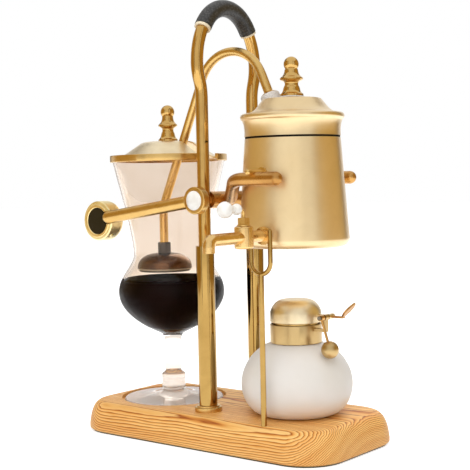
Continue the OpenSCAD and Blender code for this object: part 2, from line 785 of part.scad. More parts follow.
module counterweight() {
    dome_top = weight_l + weight_dome;
    color(brass) difference() {
        translate([weight_x, weight_y, weight_z]) rotate([-90, 0, 0]) rotate_extrude() {
            weight_profile(weight_l);
            polygon(concat(
                [[0, weight_l - 0.5], [weight_r, weight_l - 0.5]],
                [for (a = [0:5:85]) [weight_r * cos(a), weight_l + weight_dome * sin(a)]],
                [[0, dome_top]]
            ));
        }
        translate([weight_x, weight_y - over, weight_z]) rotate([-90, 0, 0])
            cylinder(h = over + bezel_seat, r = bezel_r + seat_fit);
        saddle(seat_fit);
        screw_hole(screw_r + seat_fit, 2 * weight_r);
    }
}

bezel_seat = 1.6;
bezel_proud = 0.9;
screw_r = 2;
screw_back = 3.8;

module badge_bezel() {
    color(brass) difference() {
        translate([weight_x, weight_y, weight_z]) rotate([-90, 0, 0]) rotate_extrude() {
            polygon([
                [badge_r, bezel_seat], [badge_r, -bezel_proud + 0.6], [badge_r + 0.6, -bezel_proud],
                [bezel_r - 0.6, -bezel_proud], [bezel_r, -bezel_proud + 0.6], [bezel_r, bezel_seat]
            ]);
        }
        bite(2 * loose_fit);
    }
}

module badge_disc() {
    color(black) difference() {
        translate([weight_x, weight_y, weight_z]) y_rod(badge_r - seat_fit, -bezel_proud / 2, bezel_seat);
        bite(3 * loose_fit);
    }
}

// A grub screw from below locks the counterweight on the bar
module screw_hole(r, depth) {
    at = tip_x - 2;
    translate([at, tip_y + screw_back, tip_z - bar_r - seat_fit - depth]) cylinder(h = depth, r = r);
}

module counterweight_screw() {
    reach = sqrt(weight_r * weight_r - pow(tip_x - 2 - weight_x, 2)) - (tip_z - weight_z) - bar_r;
    color(steel) screw_hole(screw_r, reach - seat_fit - 1);
}

// Boiler: a tapered vessel, hung by two pins, with a brimmed lid

boiler_inner_r = boiler_top_r - boiler_wall;
foot_round_in = boiler_foot_round - boiler_wall;
brim_z = seam_z + brim_rise;
brim_r = boiler_top_r + brim_over;
crown_z = brim_z + crown_rise;

module boiler_form(shrink, top) {
    r_foot = boiler_foot_r - shrink;
    r_round = boiler_foot_round - shrink;
    polygon(concat(
        [[0, top], [boiler_top_r - shrink, top]],
        arc([r_foot - r_round, boiler_foot_z + boiler_foot_round], r_round, 4, -90, 18),
        [[0, boiler_foot_z + shrink]]
    ));
}

module boiler_vessel() {
    color(brass) translate([boiler_x, 0, 0]) difference() {
        rotate_extrude() difference() {
            boiler_form(0, seam_z);
            boiler_form(boiler_wall, seam_z + over);
        }
        rotate([0, 0, tap_yaw]) translate([0, 0, tap_z]) y_rod(tap_neck_r + seat_fit, -2 * boiler_foot_r, 0);
        translate([0, 0, trunnion_z])
            y_rod(trunnion_r * 0.7 + seat_fit, -2 * boiler_foot_r, 2 * boiler_foot_r);
    }
}

// Each pin has a shoulder outside the wall and a riveted shank through it
module trunnion_pins() {
    wall_r = boiler_foot_r - (trunnion_z - boiler_foot_z) / boiler_h * (boiler_foot_r - boiler_top_r);
    pin_end = arm_y + arm_r + 2;
    color(brass) for (side = [0, 1]) mirror([0, side, 0]) translate([boiler_x, 0, trunnion_z]) {
        difference() {
            union() {
                y_rod(trunnion_r, -pin_end, -wall_r + 2);
                y_rod(trunnion_r + 1.5, -wall_r - 2, -wall_r + 2);
                translate([0, -pin_end, 0]) sphere(trunnion_r);
            }
            translate([0, 0, -trunnion_z]) rotate_extrude() boiler_form(-seat_fit, seam_z);
        }
        y_rod(trunnion_r * 0.7, -wall_r - 1, -wall_r + 3.5);
    }
}

spigot_h = 6;
spigot_r = boiler_inner_r - loose_fit;
skirt_z = seam_z + seam_gap;
crown_hole_r = siphon_r + 1.5;

module boiler_lid() {
    t = boiler_wall;
    bead = 3;
    slope_r = crown_r + 8;
    profile = concat(
        [[filler_r, crown_z], [crown_r - 2, crown_z], [crown_r, crown_z - 0.5],
            [slope_r - 1.5, brim_z + 7], [slope_r + 1.5, brim_z + 4.6]],
        curve([[slope_r + 2, brim_z + 4.3], [slope_r + 4, brim_z + bead + 0.4],
            [brim_r - bead - 2, brim_z + bead], [brim_r - bead, brim_z + bead]], 6),
        arc([brim_r - bead, brim_z], bead, 80, -60, 10),
        curve([[brim_r - 0.56 * bead, brim_z - 0.92 * bead], [brim_r - 2.8, brim_z - 5],
            [boiler_top_r, brim_z - 8], [boiler_top_r, skirt_z + 2]], 10),
        [[boiler_top_r + 0.3, skirt_z], [spigot_r, skirt_z], [spigot_r, skirt_z - spigot_h],
            [spigot_r - t, skirt_z - spigot_h], [spigot_r - t, brim_z - 4], [slope_r - t, brim_z + 3],
            [crown_r - t, crown_z - 2 * t], [filler_r, crown_z - 2 * t]]
    );
    color(brass) difference() {
        union() {
            translate([boiler_x, 0, 0]) rotate_extrude() polygon(profile);
            on_stopper(-7) cylinder(h = 7, r = stopper_r - 1);
        }
        on_stopper(-12) cylinder(h = 12 + over, r = crown_hole_r + seat_fit);
        on_stopper(0) cylinder(h = 4 * stopper_r, r = 2 * stopper_r);
    }
}

// Dark seal that fills the seam between the lid and the vessel
module lid_seal() {
    color(black) translate([boiler_x, 0, seam_z + seat_fit / 2])
        linear_extrude(seam_gap - seat_fit) ring(boiler_top_r - 0.4, spigot_r + seat_fit);
}

// Frame on the stopper's seat, with +Z up the leaning tube
seat_run = 27.9;
module on_stopper(lift) {
    x = siphon_arch_x + siphon_arch_r * cos(siphon_lean);
    translate([x, 0, leg_z]) rotate([0, -siphon_lean, 0]) translate([0, 0, lift - seat_run]) children();
}

stopper_h = 7.5;

module boiler_stopper() {
    color(grey_rubber) on_stopper(seat_fit) difference() {
        union() {
            cylinder(h = stopper_h - 1, r = stopper_r);
            cylinder(h = stopper_h, r = stopper_r - 1);
            translate([0, 0, stopper_h - 1]) rotate_extrude() translate([stopper_r - 1, 0]) circle(1);
            translate([0, 0, -9]) cylinder(h = 10, r = crown_hole_r);
        }
        translate([0, 0, -12]) cylinder(h = 12 + 2 * stopper_h, r = siphon_r + seat_fit);
    }
}

module stopper_cap() {
    cap_r = stopper_r - 0.8;
    cap_h = 3;
    color(brass) on_stopper(stopper_h + 2 * seat_fit) difference() {
        intersection() {
            cylinder(h = cap_h, r = cap_r);
            translate([0, 0, cap_h - 1.5 * cap_r]) sphere(1.5 * cap_r);
        }
        translate([0, 0, -over]) cylinder(h = cap_h + 2 * over, r = siphon_r + seat_fit);
    }
}

gasket_h = 2;
knob_base_r = 10;

module filler_gasket() {
    color(grey_rubber) translate([boiler_x, 0, crown_z]) rotate_extrude() {
        translate([filler_r, 0]) square([knob_base_r + 0.4 - filler_r, gasket_h - 0.6]);
        translate([filler_r, 0]) square([knob_base_r - 0.2 - filler_r, gasket_h]);
        translate([knob_base_r - 0.2, gasket_h - 0.6]) circle(0.6);
    }
}

module filler_knob() {
    color(brass) translate([boiler_x, 0, crown_z + gasket_h + 0.1])
        finial(knob_h, knob_base_r, filler_r - 4 * run_fit, 9);
}

// Siphon tube: a dip leg in the boiler, an arch over the posts and a leg into the chamber

filter_x = -chamber_x - filter_offset;
foot_bend_r = 40;
dip_gap = 6;
dip_run = (leg_z - boiler_foot_z - dip_gap) / cos(siphon_lean);
bend_tangent = foot_bend_r * tan(siphon_lean / 2);
leg_run = (leg_x - filter_x) / sin(siphon_lean) - bend_tangent;
foot_z = leg_z - leg_run * cos(siphon_lean) - foot_bend_r * sin(siphon_lean);
bell_top = bell_z + bell_h;

module siphon_tube() {
    steps = [
        [dip_run, 0], [siphon_arch_r, 180 - 2 * siphon_lean], [leg_run, 0],
        [foot_bend_r, siphon_lean], [foot_z - bell_top, 0]
    ];
    x = siphon_arch_x + siphon_arch_r * cos(siphon_lean);
    color(brass) translate([x, 0, leg_z]) rotate([0, 0, 180]) rotate([0, siphon_lean, 0])
        translate([0, 0, -dip_run]) run(steps, siphon_r, siphon_r - siphon_wall);
}

module filter_stopper() {
    h = 10;
    color(grey_rubber) translate([filter_x, 0, bell_top]) difference() {
        union() {
            cylinder(h = h - 1, r = siphon_r + 2);
            cylinder(h = h, r = siphon_r + 1);
            translate([0, 0, h - 1]) rotate_extrude() translate([siphon_r + 1, 0]) circle(1);
        }
        translate([0, 0, -over]) cylinder(h = h + 2 * over, r = siphon_r + seat_fit);
    }
}

// Bell over the filter: a thin shell with an open foot
module filter_bell() {
    t = 0.8;
    top_r = siphon_r + 3;
    profile = concat(
        curve([[top_r, bell_top], [bell_r - 9, bell_top - 0.5], [bell_r, bell_z + 10], [bell_r, bell_z]], 12),
        curve([[bell_r - t, bell_z], [bell_r - t, bell_z + 10 - t], [bell_r - 9, bell_top - 0.5 - t],
            [top_r, bell_top - t]], 12),
        [[siphon_r - siphon_wall, bell_top - t], [siphon_r - siphon_wall, bell_top]]
    );
    color(steel) translate([filter_x, 0, 0]) rotate_extrude() polygon(profile);
}

module filter_cloth() {
    color(cotton) translate([filter_x, 0, bell_z - 1.2]) cylinder(h = 1.2, r = bell_r - 0.6);
}

// Wire ring that clips the cloth under the bell
module filter_clip() {
    clip_r = 0.9;
    color(steel) translate([filter_x, 0, bell_z - 1.2 - clip_r]) rotate_extrude()
        translate([bell_r - 2.5, 0]) circle(clip_r);
}

// Tap on the boiler's front: a flanged pipe, a barrel with a turning plug, and a spout

tap_neck_r = pipe_r - 0.8;
tap_flange_r = pipe_r + 2.6;
tap_flange_y = boiler_foot_r + 2.6;
neck_in = 7;
elbow_r = pipe_r + 0.4;

// Frame of the tap, turned about the boiler's axis
module on_tap() {
    translate([boiler_x, 0, 0]) rotate([0, 0, tap_yaw]) children();
}

module tap_body() {
    round = 2;
    pipe_end = spout_reach - elbow_r;
    color(dark_brass) on_tap() translate([0, 0, tap_z]) difference() {
        union() {
            y_rod(tap_neck_r, -boiler_foot_r, -boiler_foot_r + neck_in);
            difference() {
                y_rod(tap_flange_r, -tap_flange_y, -boiler_foot_r + 3);
                translate([0, 0, -tap_z]) rotate_extrude() difference() {
                    boiler_form(-washer_t, seam_z);
                    translate([0, boiler_foot_z - over]) square([boiler_foot_r - 8, boiler_h + 2 * over]);
                }
            }
            y_rod(tap_neck_r, -tap_flange_y, -boiler_foot_r);
            y_rod(pipe_r, -pipe_end, -tap_flange_y);
            translate([0, -pipe_end, 0]) rotate([90, 0, 0]) rotate([0, 0, -90])
                run([[elbow_r, 90], [spout_drop - elbow_r, 0]], pipe_r);
            translate([0, -valve_reach, -valve_h / 2]) rotate_extrude() {
                square([valve_r - round, valve_h]);
                translate([0, round]) square([valve_r, valve_h - 2 * round]);
                for (z = [round, valve_h - round]) translate([valve_r - round, z]) circle(round);
            }
        }
        y_rod(pipe_bore_r, -pipe_end, 0);
        translate([0, -pipe_end, 0]) rotate([90, 0, 0]) rotate([0, 0, -90])
            run([[elbow_r, 90], [spout_drop - elbow_r + over, 0]], pipe_bore_r);
        translate([0, -valve_reach, -valve_h / 2 + 2]) cylinder(h = valve_h, r = plug_r + run_fit);
    }
}

// Sealing washers, one on each side of the boiler's wall
washer_t = 0.8;
module tap_washers() {
    color(grey_rubber) on_tap() difference() {
        translate([0, 0, tap_z]) y_rod(tap_flange_r - 0.4, -boiler_foot_r - 3, -boiler_foot_r + 3);
        translate([0, 0, tap_z]) y_rod(tap_neck_r + seat_fit, -2 * boiler_foot_r, 0);
        rotate_extrude() boiler_form(-seat_fit, seam_z);
        rotate_extrude() difference() {
            translate([0, boiler_foot_z - 20]) square([2 * boiler_foot_r, boiler_h + 20]);
            boiler_form(-washer_t + seat_fit, seam_z);
        }
    }
}

module tap_nut() {
    nut_out = boiler_foot_r - 2;
    color(dark_brass) on_tap() difference() {
        translate([0, 0, tap_z]) y_rod(tap_neck_r + 2.4, -nut_out, -boiler_foot_r + neck_in);
        translate([0, 0, tap_z]) y_rod(tap_neck_r + seat_fit, -2 * boiler_foot_r, 0);
        rotate_extrude() difference() {
            translate([0, boiler_foot_z - 20]) square([2 * boiler_foot_r, boiler_h + 20]);
            boiler_form(boiler_wall + seat_fit, seam_z);
        }
    }
}

// The plug turns in the barrel; its port lies along the pipe when the lever does
plug_floor = -valve_h / 2 + 2 + run_fit;
square_w = 6.6;
square_h = 5.5;

module tap_plug() {
    top = valve_h / 2 + 0.3;
    color(brass) on_tap() translate([0, -valve_reach, tap_z]) difference() {
        union() {
            translate([0, 0, plug_floor]) cylinder(h = top - plug_floor, r = plug_r);
            translate([0, 0, top]) cylinder(h = 0.8, r = valve_r - 2);
            translate([-square_w / 2, -square_w / 2, top + 0.8]) cube([square_w, square_w, square_h]);
        }
        y_rod(pipe_bore_r, -2 * plug_r, 2 * plug_r);
        translate([0, 0, top + 1.8]) cylinder(h = 2 * square_h, r = wire_r + seat_fit);
    }
}

wire_bend = 5;
wire_to = 26;

module tap_wire() {
    start = valve_h / 2 + 0.3 + 1.8 + seat_fit;
    color(brass) on_tap() translate([0, -valve_reach, tap_z + start]) rotate([0, 0, -90])
        run([[lever_rise - wire_bend - start, 0], [wire_bend, 90], [wire_to - wire_bend, 0]], wire_r);
}

// Two ceramic balls on the wire, joined by a waist
module tap_handle() {
    small_r = 0.7 * gourd_r;
    small_at = 9.5;
    big_at = small_at + small_r + gourd_r + 4.6;
    waist = 0.55 * small_r;
    color(white) on_tap() translate([0, -valve_reach, tap_z + lever_rise]) difference() {
        union() {
            translate([0, -small_at, 0]) sphere(small_r);
            translate([0, -big_at, 0]) sphere(gourd_r);
            y_rod(waist, -big_at, -small_at);
        }
        y_rod(wire_r + seat_fit, -wire_to - seat_fit, 0);
    }
}

// Spirit lamp: a frosted bowl with a brass collar, a wick, a hinged snuffer lid and a hanging ball

lamp_z = board_top + 0.1;
lamp_shoulder_z = lamp_z + lamp_shoulder;
collar_z = lamp_shoulder_z + seat_fit;
collar_top = collar_z + collar_h;
snuffer_z = collar_top + snuffer_gap;
lamp_foot_r = 28;
lamp_glass = 2.2;
neck_top = collar_top - 4;

module lamp_bowl() {
    t = lamp_glass;
    belly = lamp_z + lamp_belly;
    outer = concat(
        [[lamp_neck_r, neck_top], [lamp_neck_r, lamp_shoulder_z]],
        curve([[lamp_neck_r, lamp_shoulder_z], [lamp_neck_r + 9.5, lamp_shoulder_z - 1],
            [lamp_r, lamp_shoulder_z - 15.5], [lamp_r, belly]], 18),
        curve([[lamp_r, belly], [lamp_r, belly - 15], [lamp_r - 9.4, lamp_z], [lamp_foot_r, lamp_z]], 14),
        [[0, lamp_z]]
    );
    inner = concat(
        [[0, lamp_z + 3], [lamp_foot_r - 1, lamp_z + 3]],
        curve([[lamp_foot_r, lamp_z + 3.1], [lamp_r - 11, lamp_z + 3.2], [lamp_r - t, belly - 13],
            [lamp_r - t, belly]], 14),
        curve([[lamp_r - t, belly], [lamp_r - t, lamp_shoulder_z - 17],
            [lamp_neck_r + 8, lamp_shoulder_z - 1 - t], [lamp_neck_r - t, lamp_shoulder_z - t]], 18),
        [[lamp_neck_r - t, neck_top]]
    );
    color(frosted_glass) translate([boiler_x, 0, 0]) rotate_extrude() polygon(concat(outer, inner));
}

hinge_x = boiler_x + hinge_reach;
hinge_z = snuffer_z + 5.8;
knuckle = hinge_pin_r + 1.3;
collar_knuckle = [-5, -0.3];
lid_knuckle = [0.3, 8];
arm_knuckle = [-10.7, -6.7];

module lamp_collar() {
    bead = 0.6;
    bore = lamp_neck_r + seat_fit;
    color(brass) {
        translate([boiler_x, 0, 0]) rotate_extrude() {
            translate([bore, collar_z + bead]) square([collar_r - bore, collar_h - 2 * bead]);
            translate([bore, collar_z]) square([collar_r - bead - bore, collar_h]);
            for (z = [collar_z + bead, collar_top - bead]) translate([collar_r - bead, z]) circle(bead);
        }
        hinge_lug();
    }
}

// Lug on the collar that carries the hinge pin beside the lid
module hinge_lug() {
    w = collar_knuckle[1] - collar_knuckle[0];
    lug_t = 2.4;
    foot = collar_top - 5;
    difference() {
        union() {
            translate([boiler_x + collar_r - 0.4, collar_knuckle[0], foot])
                cube([hinge_reach - collar_r + 0.4 + lug_t / 2, w, lug_t]);
            translate([hinge_x - lug_t / 2, collar_knuckle[0], foot]) cube([lug_t, w, hinge_z - foot]);
            translate([hinge_x, 0, hinge_z]) y_rod(knuckle, collar_knuckle[0], collar_knuckle[1]);
        }
        translate([hinge_x, 0, hinge_z])
            y_rod(hinge_pin_r + seat_fit, collar_knuckle[0] - over, collar_knuckle[1] + over);
    }
}

// Plate in the collar's mouth with the wick's tube
holder_r = lamp_neck_r - 1.2;
tube_rise = 5;
tube_drop = 14;
wick_tube_wall = 0.9;
plate_t = 2;

module wick_holder() {
    tube = wick_r + wick_tube_wall;
    color(brass) translate([boiler_x, 0, 0]) difference() {
        rotate_extrude() {
            translate([0, neck_top + seat_fit]) square([lamp_neck_r, plate_t]);
            translate([0, neck_top]) square([holder_r, collar_top + snuffer_gap - loose_fit - neck_top]);
            translate([0, neck_top - tube_drop]) square([tube, tube_rise + snuffer_z - neck_top + tube_drop]);
        }
        translate([0, 0, lamp_z]) cylinder(h = hinge_z, r = wick_r + seat_fit);
    }
}

module wick() {
    top = snuffer_z + tube_rise + 2.5;
    color(cotton) translate([boiler_x, 0, lamp_z + 8]) {
        cylinder(h = top - 2 - lamp_z - 8, r = wick_r);
        translate([0, 0, top - 2 - lamp_z - 8]) cylinder(h = 2, r1 = wick_r, r2 = wick_r - 1.2);
    }
}

module lamp_hinge_pin() {
    color(steel) translate([hinge_x, 0, hinge_z]) {
        y_rod(hinge_pin_r, arm_knuckle[0] - 0.6, lid_knuckle[1] + 0.6);
        for (y = [arm_knuckle[0] - 1.4, lid_knuckle[1] + 0.4]) y_rod(hinge_pin_r + 0.6, y, y + 1);
    }
}

// Domed lid that drops over the flame, with a leaf to the hinge
module snuffer_lid() {
    t = 1.1;
    side = 0.38 * snuffer_h;
    top = snuffer_z + snuffer_h;
    outer = concat(
        [[collar_r - 0.6, snuffer_z], [collar_r, snuffer_z + 0.6]],
        curve([[collar_r, snuffer_z + side], [collar_r - 0.6, snuffer_z + side + 5],
            [collar_r - 5, top - 2.4], [collar_r - 9, top - 1.2]], 12),
        curve([[collar_r - 9, top - 1.2], [collar_r - 12, top - 0.3], [5, top], [0, top]], 8)
    );
    inner = concat(
        curve([[0, top - t], [5, top - t], [collar_r - 12, top - 0.3 - t],
            [collar_r - 9.2, top - 1.2 - t]], 8),
        curve([[collar_r - 9.2, top - 1.2 - t], [collar_r - 5.4, top - 2.8 - t],
            [collar_r - 0.6 - t, snuffer_z + side + 5], [collar_r - t, snuffer_z + side]], 12),
        [[collar_r - t, snuffer_z]]
    );
    leaf_w = lid_knuckle[1] - lid_knuckle[0];
    leaf_t = 2;
    color(brass) difference() {
        union() {
            translate([boiler_x, 0, 0]) rotate_extrude() polygon(concat(outer, inner));
            translate([boiler_x + collar_r - 0.9, lid_knuckle[0], hinge_z - leaf_t / 2])
                cube([hinge_reach - collar_r + 0.9, leaf_w, leaf_t]);
            translate([hinge_x, 0, hinge_z]) y_rod(knuckle, lid_knuckle[0], lid_knuckle[1]);
        }
        translate([hinge_x, 0, hinge_z])
            y_rod(hinge_pin_r + run_fit, lid_knuckle[0] - over, lid_knuckle[1] + over);
    }
}

// Leaf-shaped thumb tab on the lid's knuckle
module snuffer_tab() {
    leaf_l = 0.72 * tab_reach;
    leaf_w = lid_knuckle[1] - lid_knuckle[0];
    leaf_t = 1.6;
    big = (leaf_l * leaf_l + leaf_w * leaf_w) / (4 * leaf_w);
    neck = knuckle + seat_fit;
    rise = 44;
    color(brass) translate([hinge_x, (lid_knuckle[0] + lid_knuckle[1]) / 2, hinge_z]) difference() {
        union() {
            translate([0, -2, -leaf_t / 2]) cube([tab_reach - leaf_l * cos(rise) + 1.5, 4, leaf_t]);
            translate([tab_reach - leaf_l * cos(rise), 0, 0]) rotate([0, -rise, 0])
                translate([leaf_l / 2, 0, -leaf_t / 2]) linear_extrude(leaf_t)
                    intersection_for(side = [-1, 1]) translate([0, side * (big - leaf_w / 2)]) circle(big);
        }
        y_rod(neck, -leaf_w, leaf_w);
    }
}

// Ball on a thin arm that hangs from the hinge pin and rests beside the bowl
ball_lean = 17.5;

module weight_arm() {
    y0 = (arm_knuckle[0] + arm_knuckle[1]) / 2;
    color(dark_brass) difference() {
        union() {
            translate([hinge_x, 0, hinge_z]) y_rod(knuckle, arm_knuckle[0], arm_knuckle[1]);
            translate([hinge_x, y0, hinge_z]) rotate([0, 180 - ball_lean, 0])
                cylinder(h = ball_arm - ball_r + 3, r = 1.1);
        }
        translate([hinge_x, 0, hinge_z])
            y_rod(hinge_pin_r + run_fit, arm_knuckle[0] - over, arm_knuckle[1] + over);
    }
}

module snuffer_weight() {
    y0 = (arm_knuckle[0] + arm_knuckle[1]) / 2;
    color(brass) translate([hinge_x, y0, hinge_z]) rotate([0, 180 - ball_lean, 0]) difference() {
        translate([0, 0, ball_arm]) sphere(ball_r);
        cylinder(h = ball_arm - ball_r + 3 + seat_fit, r = 1.1 + seat_fit);
    }
}

base_board();
base_felt();
post_sleeves();
post_flanges();
post_bolts();
handle_frame();
handle_grip();
grip_rings();
pivot_bushes();
tap_prop();
prop_nut();
glass_chamber();
chamber_rim();
chamber_lid();
chamber_lid_knob();
pivot_shaft();
beam_yoke();
balance_bar();
pivot_enamel();
rear_pivot_cap();
counterweight();
badge_bezel();
badge_disc();
counterweight_screw();
boiler_vessel();
boiler_lid();
lid_seal();
trunnion_pins();
filler_gasket();
filler_knob();
siphon_tube();
boiler_stopper();
stopper_cap();
filter_stopper();
filter_bell();
filter_cloth();
filter_clip();
tap_body();
tap_washers();
tap_nut();
tap_plug();
tap_wire();
tap_handle();
lamp_bowl();
lamp_collar();
wick_holder();
wick();
lamp_hinge_pin();
snuffer_lid();
snuffer_tab();
weight_arm();
snuffer_weight();
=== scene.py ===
import bpy
import bmesh
import json
import math
from mathutils import Matrix, Vector


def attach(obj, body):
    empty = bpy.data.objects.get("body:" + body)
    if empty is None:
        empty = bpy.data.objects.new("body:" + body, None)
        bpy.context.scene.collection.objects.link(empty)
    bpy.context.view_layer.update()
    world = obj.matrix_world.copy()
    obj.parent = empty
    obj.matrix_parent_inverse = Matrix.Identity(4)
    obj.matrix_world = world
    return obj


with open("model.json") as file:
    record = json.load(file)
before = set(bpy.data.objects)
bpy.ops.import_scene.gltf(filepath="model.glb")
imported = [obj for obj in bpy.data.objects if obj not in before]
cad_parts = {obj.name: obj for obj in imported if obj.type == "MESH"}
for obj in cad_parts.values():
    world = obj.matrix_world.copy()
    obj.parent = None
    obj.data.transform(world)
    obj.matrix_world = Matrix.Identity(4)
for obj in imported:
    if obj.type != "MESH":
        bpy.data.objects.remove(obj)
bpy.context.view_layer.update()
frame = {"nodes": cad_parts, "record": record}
NODES = frame["nodes"]
SCENE = bpy.context.scene
MM = 0.001


# Camera, solved from the photo

FRAME_PX = 470
LENS_PX = 1079.62
SENSOR_MM = 36.0
CLIP_NEAR, CLIP_FAR = 0.05, 50.0
CAM_AZ = math.radians(38.81)
CAM_EL = math.radians(2.77)
CAM_ROLL = math.radians(1.21)
CAM_PLACE = Vector((602.19, -742.08, 223.75)) * MM


def make_camera():
    data = bpy.data.cameras.new("camera")
    data.sensor_width = SENSOR_MM
    data.lens = LENS_PX / FRAME_PX * SENSOR_MM
    data.clip_start, data.clip_end = CLIP_NEAR, CLIP_FAR
    camera = bpy.data.objects.new("camera", data)
    SCENE.collection.objects.link(camera)
    flat = math.cos(CAM_EL)
    back = Vector((math.sin(CAM_AZ) * flat, -math.cos(CAM_AZ) * flat, math.sin(CAM_EL)))
    right = Vector((math.cos(CAM_AZ), math.sin(CAM_AZ), 0.0))
    up = back.cross(right)
    c, s = math.cos(CAM_ROLL), math.sin(CAM_ROLL)
    turn = Matrix((right * c - up * s, right * s + up * c, back)).transposed().to_4x4()
    camera.matrix_world = Matrix.Translation(CAM_PLACE) @ turn
    SCENE.camera = camera


make_camera()


# Shader nodes

WHITE_LIGHT = (1.0, 1.0, 1.0, 1.0)
BLACK = (0.0, 0.0, 0.0, 1.0)
NOISE_RANGE = (0.3, 0.7)
MIX_SHARE, MIX_A, MIX_B, MIX_RESULT = 0, 6, 7, 2


def srgb(r, g, b):
    """Linear colour of an 8-bit screen colour."""
    def linear(v):
        v /= 255.0
        return v / 12.92 if v <= 0.04045 else ((v + 0.055) / 1.055) ** 2.4
    return (linear(r), linear(g), linear(b), 1.0)


def add_node(tree, kind, inputs=None, **settings):
    """New node with its settings, and plain values on its inputs."""
    node = tree.nodes.new(kind)
    for key, value in settings.items():
        setattr(node, key, value)
    for key, value in (inputs or {}).items():
        node.inputs[key].default_value = value
    return node


def find_node(tree, kind):
    return next(n for n in tree.nodes if n.type == kind)


class Mat:
    """A Principled material with small helpers for its nodes."""

    def __init__(self, name):
        self.mat = bpy.data.materials.new(name)
        self.mat.use_nodes = True
        self.tree = self.mat.node_tree
        self.shader = find_node(self.tree, "BSDF_PRINCIPLED")

    def set(self, **values):
        for key, value in values.items():
            self.shader.inputs[key.replace("_", " ")].default_value = value
        return self

    def node(self, kind, inputs=None, **settings):
        return add_node(self.tree, kind, inputs, **settings)

    def link(self, output, socket):
        self.tree.links.new(output, socket)

    def feed(self, name, output):
        """Let an output set one of the shader's inputs."""
        self.link(output, self.shader.inputs[name])

    def place(self):
        """Object coordinates, from one shared node."""
        node = self.tree.nodes.get("place") or self.node("ShaderNodeTexCoord", name="place")
        return node.outputs["Object"]

    def mapped(self, **values):
        """Object coordinates that are moved, turned or scaled."""
        node = self.node("ShaderNodeMapping", values)
        self.link(self.place(), node.inputs["Vector"])
        return node.outputs["Vector"]

    def noise(self, scale, detail=4.0, rough=0.5, distortion=0.0, vector=None):
        values = {"Scale": scale, "Detail": detail, "Roughness": rough, "Distortion": distortion}
        node = self.node("ShaderNodeTexNoise", values)
        self.link(vector or self.place(), node.inputs["Vector"])
        return node.outputs["Fac"]

    def ramp(self, fac, stops):
        """Ramp through linear colours."""
        node = self.node("ShaderNodeValToRGB")
        elements = node.color_ramp.elements
        while len(elements) < len(stops):
            elements.new(0.5)
        for element, (at, colour) in zip(elements, stops):
            element.position, element.color = at, colour
        self.link(fac, node.inputs["Fac"])
        return node.outputs["Color"]

    def tint(self, fac, *stops):
        """Ramp through 8-bit screen colours."""
        return self.ramp(fac, [(at, srgb(*colour)) for at, colour in stops])

    def span(self, value, source, target):
        """Value carried from the source range to the target range."""
        node = self.node("ShaderNodeMapRange", {
            "From Min": source[0], "From Max": source[1], "To Min": target[0], "To Max": target[1]})
        self.link(value, node.inputs["Value"])
        return node.outputs["Result"]

    def mix(self, share, a, b, blend="MIX"):
        node = self.node("ShaderNodeMix", {MIX_SHARE: share}, data_type="RGBA", blend_type=blend)
        self.link(a, node.inputs[MIX_A])
        self.link(b, node.inputs[MIX_B])
        return node.outputs[MIX_RESULT]

    def colour(self, output):
        self.feed("Base Color", output)

    def rough(self, noise, low_high):
        """Roughness that follows a noise between two values."""
        self.feed("Roughness", self.span(noise, NOISE_RANGE, low_high))

    def bump(self, height, strength, distance):
        node = self.node("ShaderNodeBump", {"Strength": strength, "Distance": distance})
        self.link(height, node.inputs["Height"])
        self.feed("Normal", node.outputs["Normal"])


# Materials

def metal(name, light, dark, rough, grain=(1.0, 1.0, 1.0), bump=0.03, coat=0.0, wear=0.22):
    """Plated or bare metal: a slow tint change, fine polishing marks and faint handling smears."""
    m = Mat(name).set(Metallic=1.0, Coat_Weight=coat, Coat_Roughness=0.3)
    slow = m.noise(26.0, 3.0)
    smear = m.noise(75.0, 5.0, 0.6, 0.8)
    fine = m.noise(900.0, 3.0, 0.6, vector=m.mapped(Scale=grain))
    base = m.tint(slow, (0.30, dark), (0.72, light))
    stain = m.tint(smear, (0.35, (206, 196, 178)), (0.62, (255, 255, 255)))
    m.colour(m.mix(wear, base, stain, "MULTIPLY"))
    m.rough(m.mix(0.4, fine, smear), rough)
    m.bump(fine, bump, 0.00004)
    return m.mat


def wood():
    """Oiled light wood: growth rings about an axis along the board, finer fibres along it."""
    m = Mat("oak").set(Coat_Weight=0.04, Coat_Roughness=0.2, Specular_IOR_Level=0.2)
    log = m.mapped(Location=(0.02, -0.018, 0.082), Rotation=(0.0, 0.05, 0.035), Scale=(0.13, 1.0, 1.0))

    def rings(scale, distortion, detail_scale):
        values = {"Scale": scale, "Distortion": distortion, "Detail": 3.0, "Detail Scale": detail_scale}
        values["Detail Roughness"] = 0.55
        kind = {"wave_type": "RINGS", "rings_direction": "X", "wave_profile": "SAW"}
        wave = m.node("ShaderNodeTexWave", values, **kind)
        m.link(log, wave.inputs["Vector"])
        return wave.outputs["Fac"]

    years = rings(250.0, 7.5, 0.4)
    groups = rings(34.0, 4.0, 0.5)
    fibres = m.noise(9.0, 6.0, 0.65, vector=m.mapped(Scale=(6.0, 190.0, 190.0)))
    cloud = m.noise(7.0, 3.0, 0.5, vector=m.mapped(Scale=(1.0, 4.0, 4.0)))
    early, late, line = (250, 203, 126), (228, 160, 80), (160, 82, 28)
    base = m.tint(
        years, (0.0, (255, 218, 150)), (0.42, early), (0.70, late), (0.88, line), (1.0, (250, 206, 134)))
    patches = m.tint(cloud, (0.30, (240, 216, 184)), (0.70, (255, 252, 246)))
    bands = m.tint(groups, (0.15, (255, 252, 244)), (0.75, (236, 206, 166)), (1.0, (255, 250, 240)))
    streaks = m.tint(fibres, (0.30, (222, 192, 156)), (0.62, (255, 255, 255)))
    grained = m.mix(0.8, base, m.mix(0.5, patches, bands), "MULTIPLY")
    m.colour(m.mix(0.45, grained, streaks, "MULTIPLY"))
    m.rough(fibres, (0.4, 0.56))
    m.bump(m.mix(0.5, years, fibres), 0.12, 0.0001)
    return m.mat


